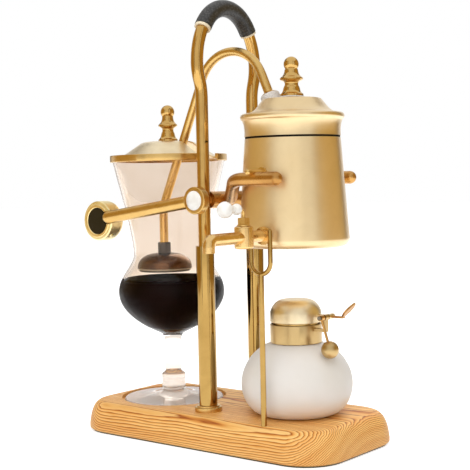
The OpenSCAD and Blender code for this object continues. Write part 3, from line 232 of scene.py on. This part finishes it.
def felt():
    m = Mat("felt").set(Sheen_Weight=0.4, Sheen_Roughness=0.6)
    fuzz = m.noise(1400.0, 5.0, 0.7)
    m.colour(m.tint(fuzz, (0.3, (58, 62, 36)), (0.7, (92, 94, 58))))
    m.rough(fuzz, (0.85, 1.0))
    m.bump(fuzz, 0.6, 0.0003)
    return m.mat


def rubber(name, dark, light, rough, scale=700.0, bump=0.12, gloss=0.5):
    """Rubber, enamel or paint with a fine grain."""
    m = Mat(name).set(Specular_IOR_Level=gloss)
    grain = m.noise(scale, 4.0, 0.6)
    m.colour(m.tint(grain, (0.3, dark), (0.7, light)))
    m.rough(m.noise(60.0, 3.0), rough)
    m.bump(grain, bump, 0.0001)
    return m.mat


def leather():
    """Black grip covering with a fine pebbled grain; the pebble tops are painted lighter as painted
    highlights, the crevices between them darker as painted shade, and random rubbed patches vary the tone.
    """
    m = Mat("grip_rubber").set(Specular_IOR_Level=0.5)
    voronoi = m.node("ShaderNodeTexVoronoi", {"Scale": 520.0}, feature="F1")
    m.link(m.place(), voronoi.inputs["Vector"])
    pebbles = voronoi.outputs["Distance"]
    wear = m.noise(90.0, 4.0)
    # Light at the pebble centres and dark at their borders: painted highlight on the tops, painted shade in
    # the crevices.
    base = m.tint(pebbles, (0.15, (80, 79, 77)), (0.60, (44, 43, 42)))
    rubbed = m.tint(wear, (0.3, (120, 120, 120)), (0.7, (230, 230, 230)))
    m.colour(m.mix(0.5, base, rubbed, "MULTIPLY"))
    m.rough(wear, (0.36, 0.5))
    m.bump(pebbles, -0.16, 0.0002)
    return m.mat


def glazed():
    m = Mat("glazed_white").set(Coat_Weight=0.6, Coat_Roughness=0.05)
    cloud = m.noise(120.0, 3.0)
    m.colour(m.tint(cloud, (0.3, (236, 231, 222)), (0.7, (250, 248, 243))))
    m.rough(cloud, (0.14, 0.24))
    m.bump(m.noise(260.0, 2.0), 0.04, 0.0001)
    return m.mat


def clear_glass():
    """Blown glass, faintly warm; its pressed foot is a little milky, and the brew leaves a dull film. Over
    the brew the glass's reflection is also dimmed, a painted shade that keeps the brew dark.
    """
    milky_to, clear_from = 40.0 * MM, 62.0 * MM
    film_from, film_full, film_until, film_end = 89.0, 93.0, 135.0, 138.0
    scale_top = 200.0
    m = Mat("clear_glass").set(IOR=1.22)
    ripple = m.noise(30.0, 2.0)
    m.colour(m.tint(ripple, (0.3, (240, 228, 216)), (0.7, (245, 235, 225))))
    m.bump(ripple, 0.03, 0.0005)
    split = m.node("ShaderNodeSeparateXYZ")
    m.link(m.place(), split.inputs["Vector"])
    height = split.outputs["Z"]
    m.feed("Transmission Weight", m.span(height, (milky_to, clear_from), (0.70, 1.0)))
    level = m.span(height, (0.0, scale_top * MM), (0.0, 1.0))

    def film_and_dimmed_reflection(coated, bare):
        """Grey that changes over from the bare glass to the stretch that the brew has coated: a dull film
        in the roughness, and in the specular tint a dimmed reflection that is painted shade.
        """
        stops = ((film_from, bare), (film_full, coated), (film_until, coated), (film_end, bare))
        return m.ramp(level, [(z / scale_top, (grey, grey, grey, 1.0)) for z, grey in stops])

    m.feed("Roughness", film_and_dimmed_reflection(0.42, 0.0))
    # Over the brew a grey specular tint of 0.3 dims the glass's reflection: painted shade.
    m.feed("Specular Tint", film_and_dimmed_reflection(0.3, 1.0))
    return m.mat


def frosted_glass():
    m = Mat("frosted_glass").set(Transmission_Weight=0.12, IOR=1.45, Subsurface_Weight=0.25)
    m.set(Subsurface_Radius=(0.012, 0.011, 0.010), Subsurface_Scale=0.5)
    etch = m.noise(1500.0, 4.0, 0.6)
    cloud = m.noise(22.0, 3.0)
    m.colour(m.tint(cloud, (0.3, (240, 232, 222)), (0.7, (248, 242, 235))))
    m.rough(etch, (0.34, 0.5))
    m.bump(etch, 0.10, 0.00006)
    return m.mat


def coffee():
    m = Mat("coffee").set(Specular_IOR_Level=0.0)
    haze = m.noise(60.0, 4.0)
    m.colour(m.tint(haze, (0.3, (10, 3, 3)), (0.7, (22, 8, 6))))
    m.rough(haze, (0.2, 0.34))
    return m.mat


def cotton():
    m = Mat("cotton")
    kind = {"wave_type": "BANDS", "bands_direction": "DIAGONAL"}
    wave = m.node("ShaderNodeTexWave", {"Scale": 700.0, "Distortion": 1.5}, **kind)
    m.link(m.place(), wave.inputs["Vector"])
    weave = wave.outputs["Fac"]
    m.colour(m.tint(weave, (0.2, (206, 194, 170)), (0.8, (240, 232, 214))))
    m.rough(m.noise(800.0), (0.8, 0.95))
    m.bump(weave, 0.5, 0.0002)
    return m.mat


DRAWN = {"grain": (1.0, 1.0, 0.2), "bump": 0.01}
SPUN = {"grain": (0.3, 0.3, 3.0), "coat": 0.5, "wear": 0.1}
BRASS = metal("polished_brass", (224, 188, 120), (210, 171, 102), (0.25, 0.34))
SHEET = metal("plated_sheet", (238, 214, 168), (234, 207, 158), (0.35, 0.41), **SPUN)
# The pale sheet is the plated sheet painted paler and creamier, a painted highlight for the bright
# reflection on the lids that carry it.
PAINTED_LIT_SHEET = metal("pale_sheet", (244, 228, 194), (236, 216, 174), (0.34, 0.42), bump=0.02, coat=0.35)
TAP = metal("tap_brass", (238, 202, 140), (226, 186, 120), (0.20, 0.30))
DRUM = metal("drum_brass", (255, 244, 196), (252, 234, 176), (0.36, 0.46))
BEZEL = metal("bezel_brass", (255, 232, 172), (246, 216, 150), (0.26, 0.36))
POST = metal("post_brass", (214, 174, 104), (196, 154, 86), (0.05, 0.10), **DRAWN)
SLEEVE = metal("sleeve_brass", (182, 148, 86), (168, 134, 74), (0.05, 0.10), **DRAWN)
COLLAR = metal("collar_brass", (204, 176, 126), (194, 166, 114), (0.30, 0.40))
KNOB = metal("knob_brass", (216, 178, 110), (200, 160, 92), (0.10, 0.18))
# The aged brass is not aged: it is the brass painted darker and browner, a painted shade for the dark
# reflections on the parts that carry it.
PAINTED_SHADE_BRASS = metal("aged_brass", (212, 164, 96), (176, 126, 68), (0.24, 0.36))
STEEL = metal("steel", (150, 142, 130), (104, 96, 86), (0.24, 0.4))
DARK_METAL = metal("dark_metal", (112, 86, 66), (66, 50, 40), (0.18, 0.3))
OAK = wood()
FELT = felt()
GRIP = leather()
BADGE = rubber("badge_enamel", (9, 9, 9), (20, 19, 18), (0.10, 0.2), scale=90.0, bump=0.02)
SEAL = rubber("seal_rubber", (8, 7, 6), (20, 17, 14), (0.6, 0.8), gloss=0.1)
SILICONE = rubber("silicone", (196, 190, 184), (222, 217, 211), (0.45, 0.6))
PLUG = rubber("filter_plug", (70, 66, 64), (104, 100, 97), (0.4, 0.55))
TRIM = rubber("pale_trim", (226, 208, 172), (244, 230, 202), (0.25, 0.4))
WHITE = glazed()
CLEAR = clear_glass()
FROST = frosted_glass()
COFFEE = coffee()
COTTON = cotton()

FINISH = {
    "brass": BRASS, "plated_sheet": SHEET, "pale_sheet": PAINTED_LIT_SHEET, "aged_brass": PAINTED_SHADE_BRASS, "pale_trim": TRIM,
    "steel": STEEL, "oak": OAK, "felt": FELT, "grip_rubber": GRIP, "seal_rubber": SEAL,
    "clear_glass": CLEAR, "frosted_glass": FROST, "silicone": SILICONE, "white_ceramic": WHITE,
    "badge_black": BADGE, "cotton": COTTON,
}
OWN_FINISH = {
    "filter_bell": DARK_METAL, "filter_stopper": PLUG, "tap_body": TAP, "chamber_rim": BRASS,
    "handle_frame": POST, "post_sleeves": SLEEVE, "snuffer_lid": PAINTED_LIT_SHEET, "lamp_collar": COLLAR,
    "counterweight": DRUM, "badge_bezel": BEZEL, "filler_knob": KNOB, "chamber_lid_knob": KNOB,
    "tap_prop": SLEEVE, "snuffer_weight": COLLAR, "snuffer_tab": PAINTED_SHADE_BRASS,
}


# Finish and smooth shading of the CAD pieces

SEAM_WIDTH = 2e-6
SMOOTH_BELOW = math.radians(28.0)


def smooth_group():
    """Modifier that joins the seams of a turned solid and shades it smoothly below an edge angle."""
    tree = bpy.data.node_groups.new("smooth_turned", "GeometryNodeTree")
    for direction in ("INPUT", "OUTPUT"):
        tree.interface.new_socket("Geometry", in_out=direction, socket_type="NodeSocketGeometry")
    start = add_node(tree, "NodeGroupInput")
    drop = add_node(tree, "GeometryNodeRemoveAttribute", {"Name": "custom_normal"})
    merge = add_node(tree, "GeometryNodeMergeByDistance", {"Distance": SEAM_WIDTH})
    faces = add_node(tree, "GeometryNodeSetShadeSmooth")
    edges = add_node(tree, "GeometryNodeSetShadeSmooth", domain="EDGE")
    end = add_node(tree, "NodeGroupOutput")
    chain = (start, drop, merge, faces, edges, end)
    for before, after in zip(chain, chain[1:]):
        tree.links.new(before.outputs["Geometry"], after.inputs["Geometry"])
    angle = add_node(tree, "GeometryNodeInputMeshEdgeAngle")
    below = add_node(tree, "FunctionNodeCompare", {"B": SMOOTH_BELOW}, operation="LESS_THAN")
    tree.links.new(angle.outputs["Unsigned Angle"], below.inputs["A"])
    tree.links.new(below.outputs["Result"], edges.inputs["Shade Smooth"])
    return tree


SMOOTH = smooth_group()

for part in frame["record"]["subparts"]:
    piece = NODES[part["node"]]
    piece.data.materials.clear()
    piece.data.materials.append(OWN_FINISH.get(part["node"], FINISH[part["material_slot"]]))
    piece.modifiers.new("smooth", "NODES").node_group = SMOOTH


# Coffee in the bowl of the glass: radius and height in millimetres, on the inner curve of the part's bowl

CHAMBER_X = -71.5
BOWL_FLOOR = (0.0, 90.0)
FLOOR_PULL = (22.9, 91.0)
SIDE_PULL = (46.9, 107.5)
BOWL_SIDE = (46.9, 124.5)
SHOULDER_PULL = (46.9, 141.0)
WAIST_PULL = (31.0, 150.0)
WAIST = (32.2, 162.0)
LOW_STEPS, HIGH_STEPS, TURN_STEPS = 24, 48, 96
COFFEE_TOP = 137.2
TOP_EDGE = 1.0
# The brew's side lies a little inside the glass wall, so that no air shows between them
SOAK, SOAK_DOWN = 0.7, 0.28


def cubic(a, b, c, d, steps):
    """Points of a cubic curve with the ends a and d."""
    points = []
    for i in range(steps + 1):
        t = i / steps
        weights = ((1 - t) ** 3, 3 * t * (1 - t) ** 2, 3 * t * t * (1 - t), t ** 3)
        points.append(tuple(sum(w * q[n] for w, q in zip(weights, (a, b, c, d))) for n in (0, 1)))
    return points


def coffee_profile():
    low = cubic(BOWL_FLOOR, FLOOR_PULL, SIDE_PULL, BOWL_SIDE, LOW_STEPS)
    high = cubic(BOWL_SIDE, SHOULDER_PULL, WAIST_PULL, WAIST, HIGH_STEPS)
    wall = [(0.0, BOWL_FLOOR[1] - SOAK)]
    wall += [(r + SOAK, z - SOAK_DOWN) for r, z in low[1:]]
    wall += [(r + SOAK, z) for r, z in high[1:] if z < COFFEE_TOP]
    return wall + [(wall[-1][0] - TOP_EDGE, COFFEE_TOP), (0.0, COFFEE_TOP)]


def lathe(name, profile, centre, material, body):
    """Smooth turned solid from (radius, height) points in millimetres, closed on the axis."""
    bm = bmesh.new()

    def point(r, z, turn):
        x, y = centre[0] + r * math.cos(turn), centre[1] + r * math.sin(turn)
        return bm.verts.new((x * MM, y * MM, z * MM))

    rings = []
    for r, z in profile:
        count = TURN_STEPS if r > 0 else 1
        rings.append([point(r, z, 2 * math.pi * i / TURN_STEPS) for i in range(count)])
    for low, high in zip(rings, rings[1:]):
        for i in range(TURN_STEPS):
            j = (i + 1) % TURN_STEPS
            corners = [low[i % len(low)], low[j % len(low)], high[j % len(high)], high[i % len(high)]]
            unique = [v for k, v in enumerate(corners) if v not in corners[:k]]
            if len(unique) > 2:
                bm.faces.new(unique)
    bmesh.ops.recalc_face_normals(bm, faces=bm.faces)
    mesh = bpy.data.meshes.new(name)
    bm.to_mesh(mesh)
    bm.free()
    mesh.shade_smooth()
    mesh.materials.append(material)
    piece = bpy.data.objects.new(name, mesh)
    SCENE.collection.objects.link(piece)
    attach(piece, body)


lathe("coffee_brew", coffee_profile(), (CHAMBER_X, 0.0), COFFEE, "stand")


# Stage

FLOOR_HALF = 8.0
FLOOR_DROP = 0.0002
FLOOR_COLOUR = (0.86, 0.86, 0.86, 1.0)
FLOOR_GLOW = 0.62
WORLD_LIGHT, WORLD_SEEN = 0.55, 1.0
MIDDLE = (0.0, 0.0, 0.19)
CARD_HALF_HEIGHT = 0.9
CARD_Z = 0.55
CARD_REACH, STRIP_REACH = 1.3, 1.2
TAN = (0.58, 0.385, 0.11, 1.0)
BROWN = (0.14, 0.09, 0.035, 1.0)
DARK = (0.06, 0.035, 0.015, 1.0)


def seen_rays(tree):
    """1 for the rays that show a surface: straight to the camera, in a reflection or through glass."""
    path = add_node(tree, "ShaderNodeLightPath")
    seen = path.outputs["Is Camera Ray"]
    for name in ("Is Glossy Ray", "Is Transmission Ray"):
        either = add_node(tree, "ShaderNodeMath", operation="MAXIMUM")
        tree.links.new(seen, either.inputs[0])
        tree.links.new(path.outputs[name], either.inputs[1])
        seen = either.outputs[0]
    return seen


def rectangle(name, half_width, half_height, material):
    w, h = half_width, half_height
    mesh = bpy.data.meshes.new(name)
    mesh.from_pydata([(-w, -h, 0), (w, -h, 0), (w, h, 0), (-w, h, 0)], [], [(0, 1, 2, 3)])
    mesh.materials.append(material)
    sheet = bpy.data.objects.new(name, mesh)
    SCENE.collection.objects.link(sheet)
    return sheet


def put_facing(o, place, target, front):
    """Put an object at a place, with its front axis towards a target."""
    o.location = place
    o.rotation_mode = "QUATERNION"
    o.rotation_quaternion = (Vector(target) - Vector(place)).to_track_quat(front, "Y")


def make_floor():
    m = Mat("floor").set(Base_Color=FLOOR_COLOUR, Roughness=0.9, Specular_IOR_Level=0.1)
    m.set(Emission_Color=WHITE_LIGHT)
    m.feed("Emission Strength", m.span(seen_rays(m.tree), (0.0, 1.0), (0.0, FLOOR_GLOW)))
    floor = rectangle("floor", FLOOR_HALF, FLOOR_HALF, m.mat)
    floor.location.z = -FLOOR_DROP


def make_world():
    """White wherever it is seen, and a softer light on the object."""
    world = bpy.data.worlds.new("studio")
    SCENE.world = world
    world.use_nodes = True
    tree = world.node_tree
    back = find_node(tree, "BACKGROUND")
    back.inputs["Color"].default_value = WHITE_LIGHT
    level = add_node(tree, "ShaderNodeMapRange", {"To Min": WORLD_LIGHT, "To Max": WORLD_SEEN})
    tree.links.new(seen_rays(tree), level.inputs["Value"])
    tree.links.new(level.outputs["Result"], back.inputs["Strength"])


def lamp(name, place, size, watts):
    """Soft square lamp that lights the surfaces but shows in no reflection."""
    data = bpy.data.lights.new(name, "AREA")
    data.energy, data.size = watts, size
    o = bpy.data.objects.new(name, data)
    put_facing(o, place, MIDDLE, "-Z")
    o.visible_glossy = False
    SCENE.collection.objects.link(o)


def card(name, turn, reach, width, shade):
    """Studio card that only reflections see, beside the camera's line by a turn in degrees.

    It gives polished metal its darker sides.
    """
    m = Mat(name).set(Base_Color=BLACK, Specular_IOR_Level=0.0, Emission_Color=shade, Emission_Strength=1.0)
    o = rectangle(name, width / 2, CARD_HALF_HEIGHT, m.mat)
    a = CAM_AZ + math.radians(turn)
    put_facing(o, (math.sin(a) * reach, -math.cos(a) * reach, CARD_Z), (0.0, 0.0, CARD_Z), "Z")
    o.visible_camera = o.visible_diffuse = o.visible_transmission = o.visible_shadow = False


make_floor()
make_world()
lamp("key", (0.78, -1.55, 1.0), 2.0, 16.0)
lamp("top", (0.1, -0.2, 1.9), 1.4, 14.0)
lamp("rim", (-0.5, 1.5, 1.0), 1.2, 10.0)
card("card_right", 88.0, CARD_REACH, 1.9, TAN)
card("card_left", -92.0, CARD_REACH, 1.9, TAN)
card("strip_left", -46.0, STRIP_REACH, 0.12, DARK)
card("strip_right", 24.0, STRIP_REACH, 0.08, BROWN)
card("strip_far", 47.0, STRIP_REACH, 0.12, DARK)
card("strip_side", 128.0, STRIP_REACH, 0.3, DARK)
card("strip_back", -150.0, STRIP_REACH, 0.3, DARK)

SCENE.view_settings.view_transform = "Standard"
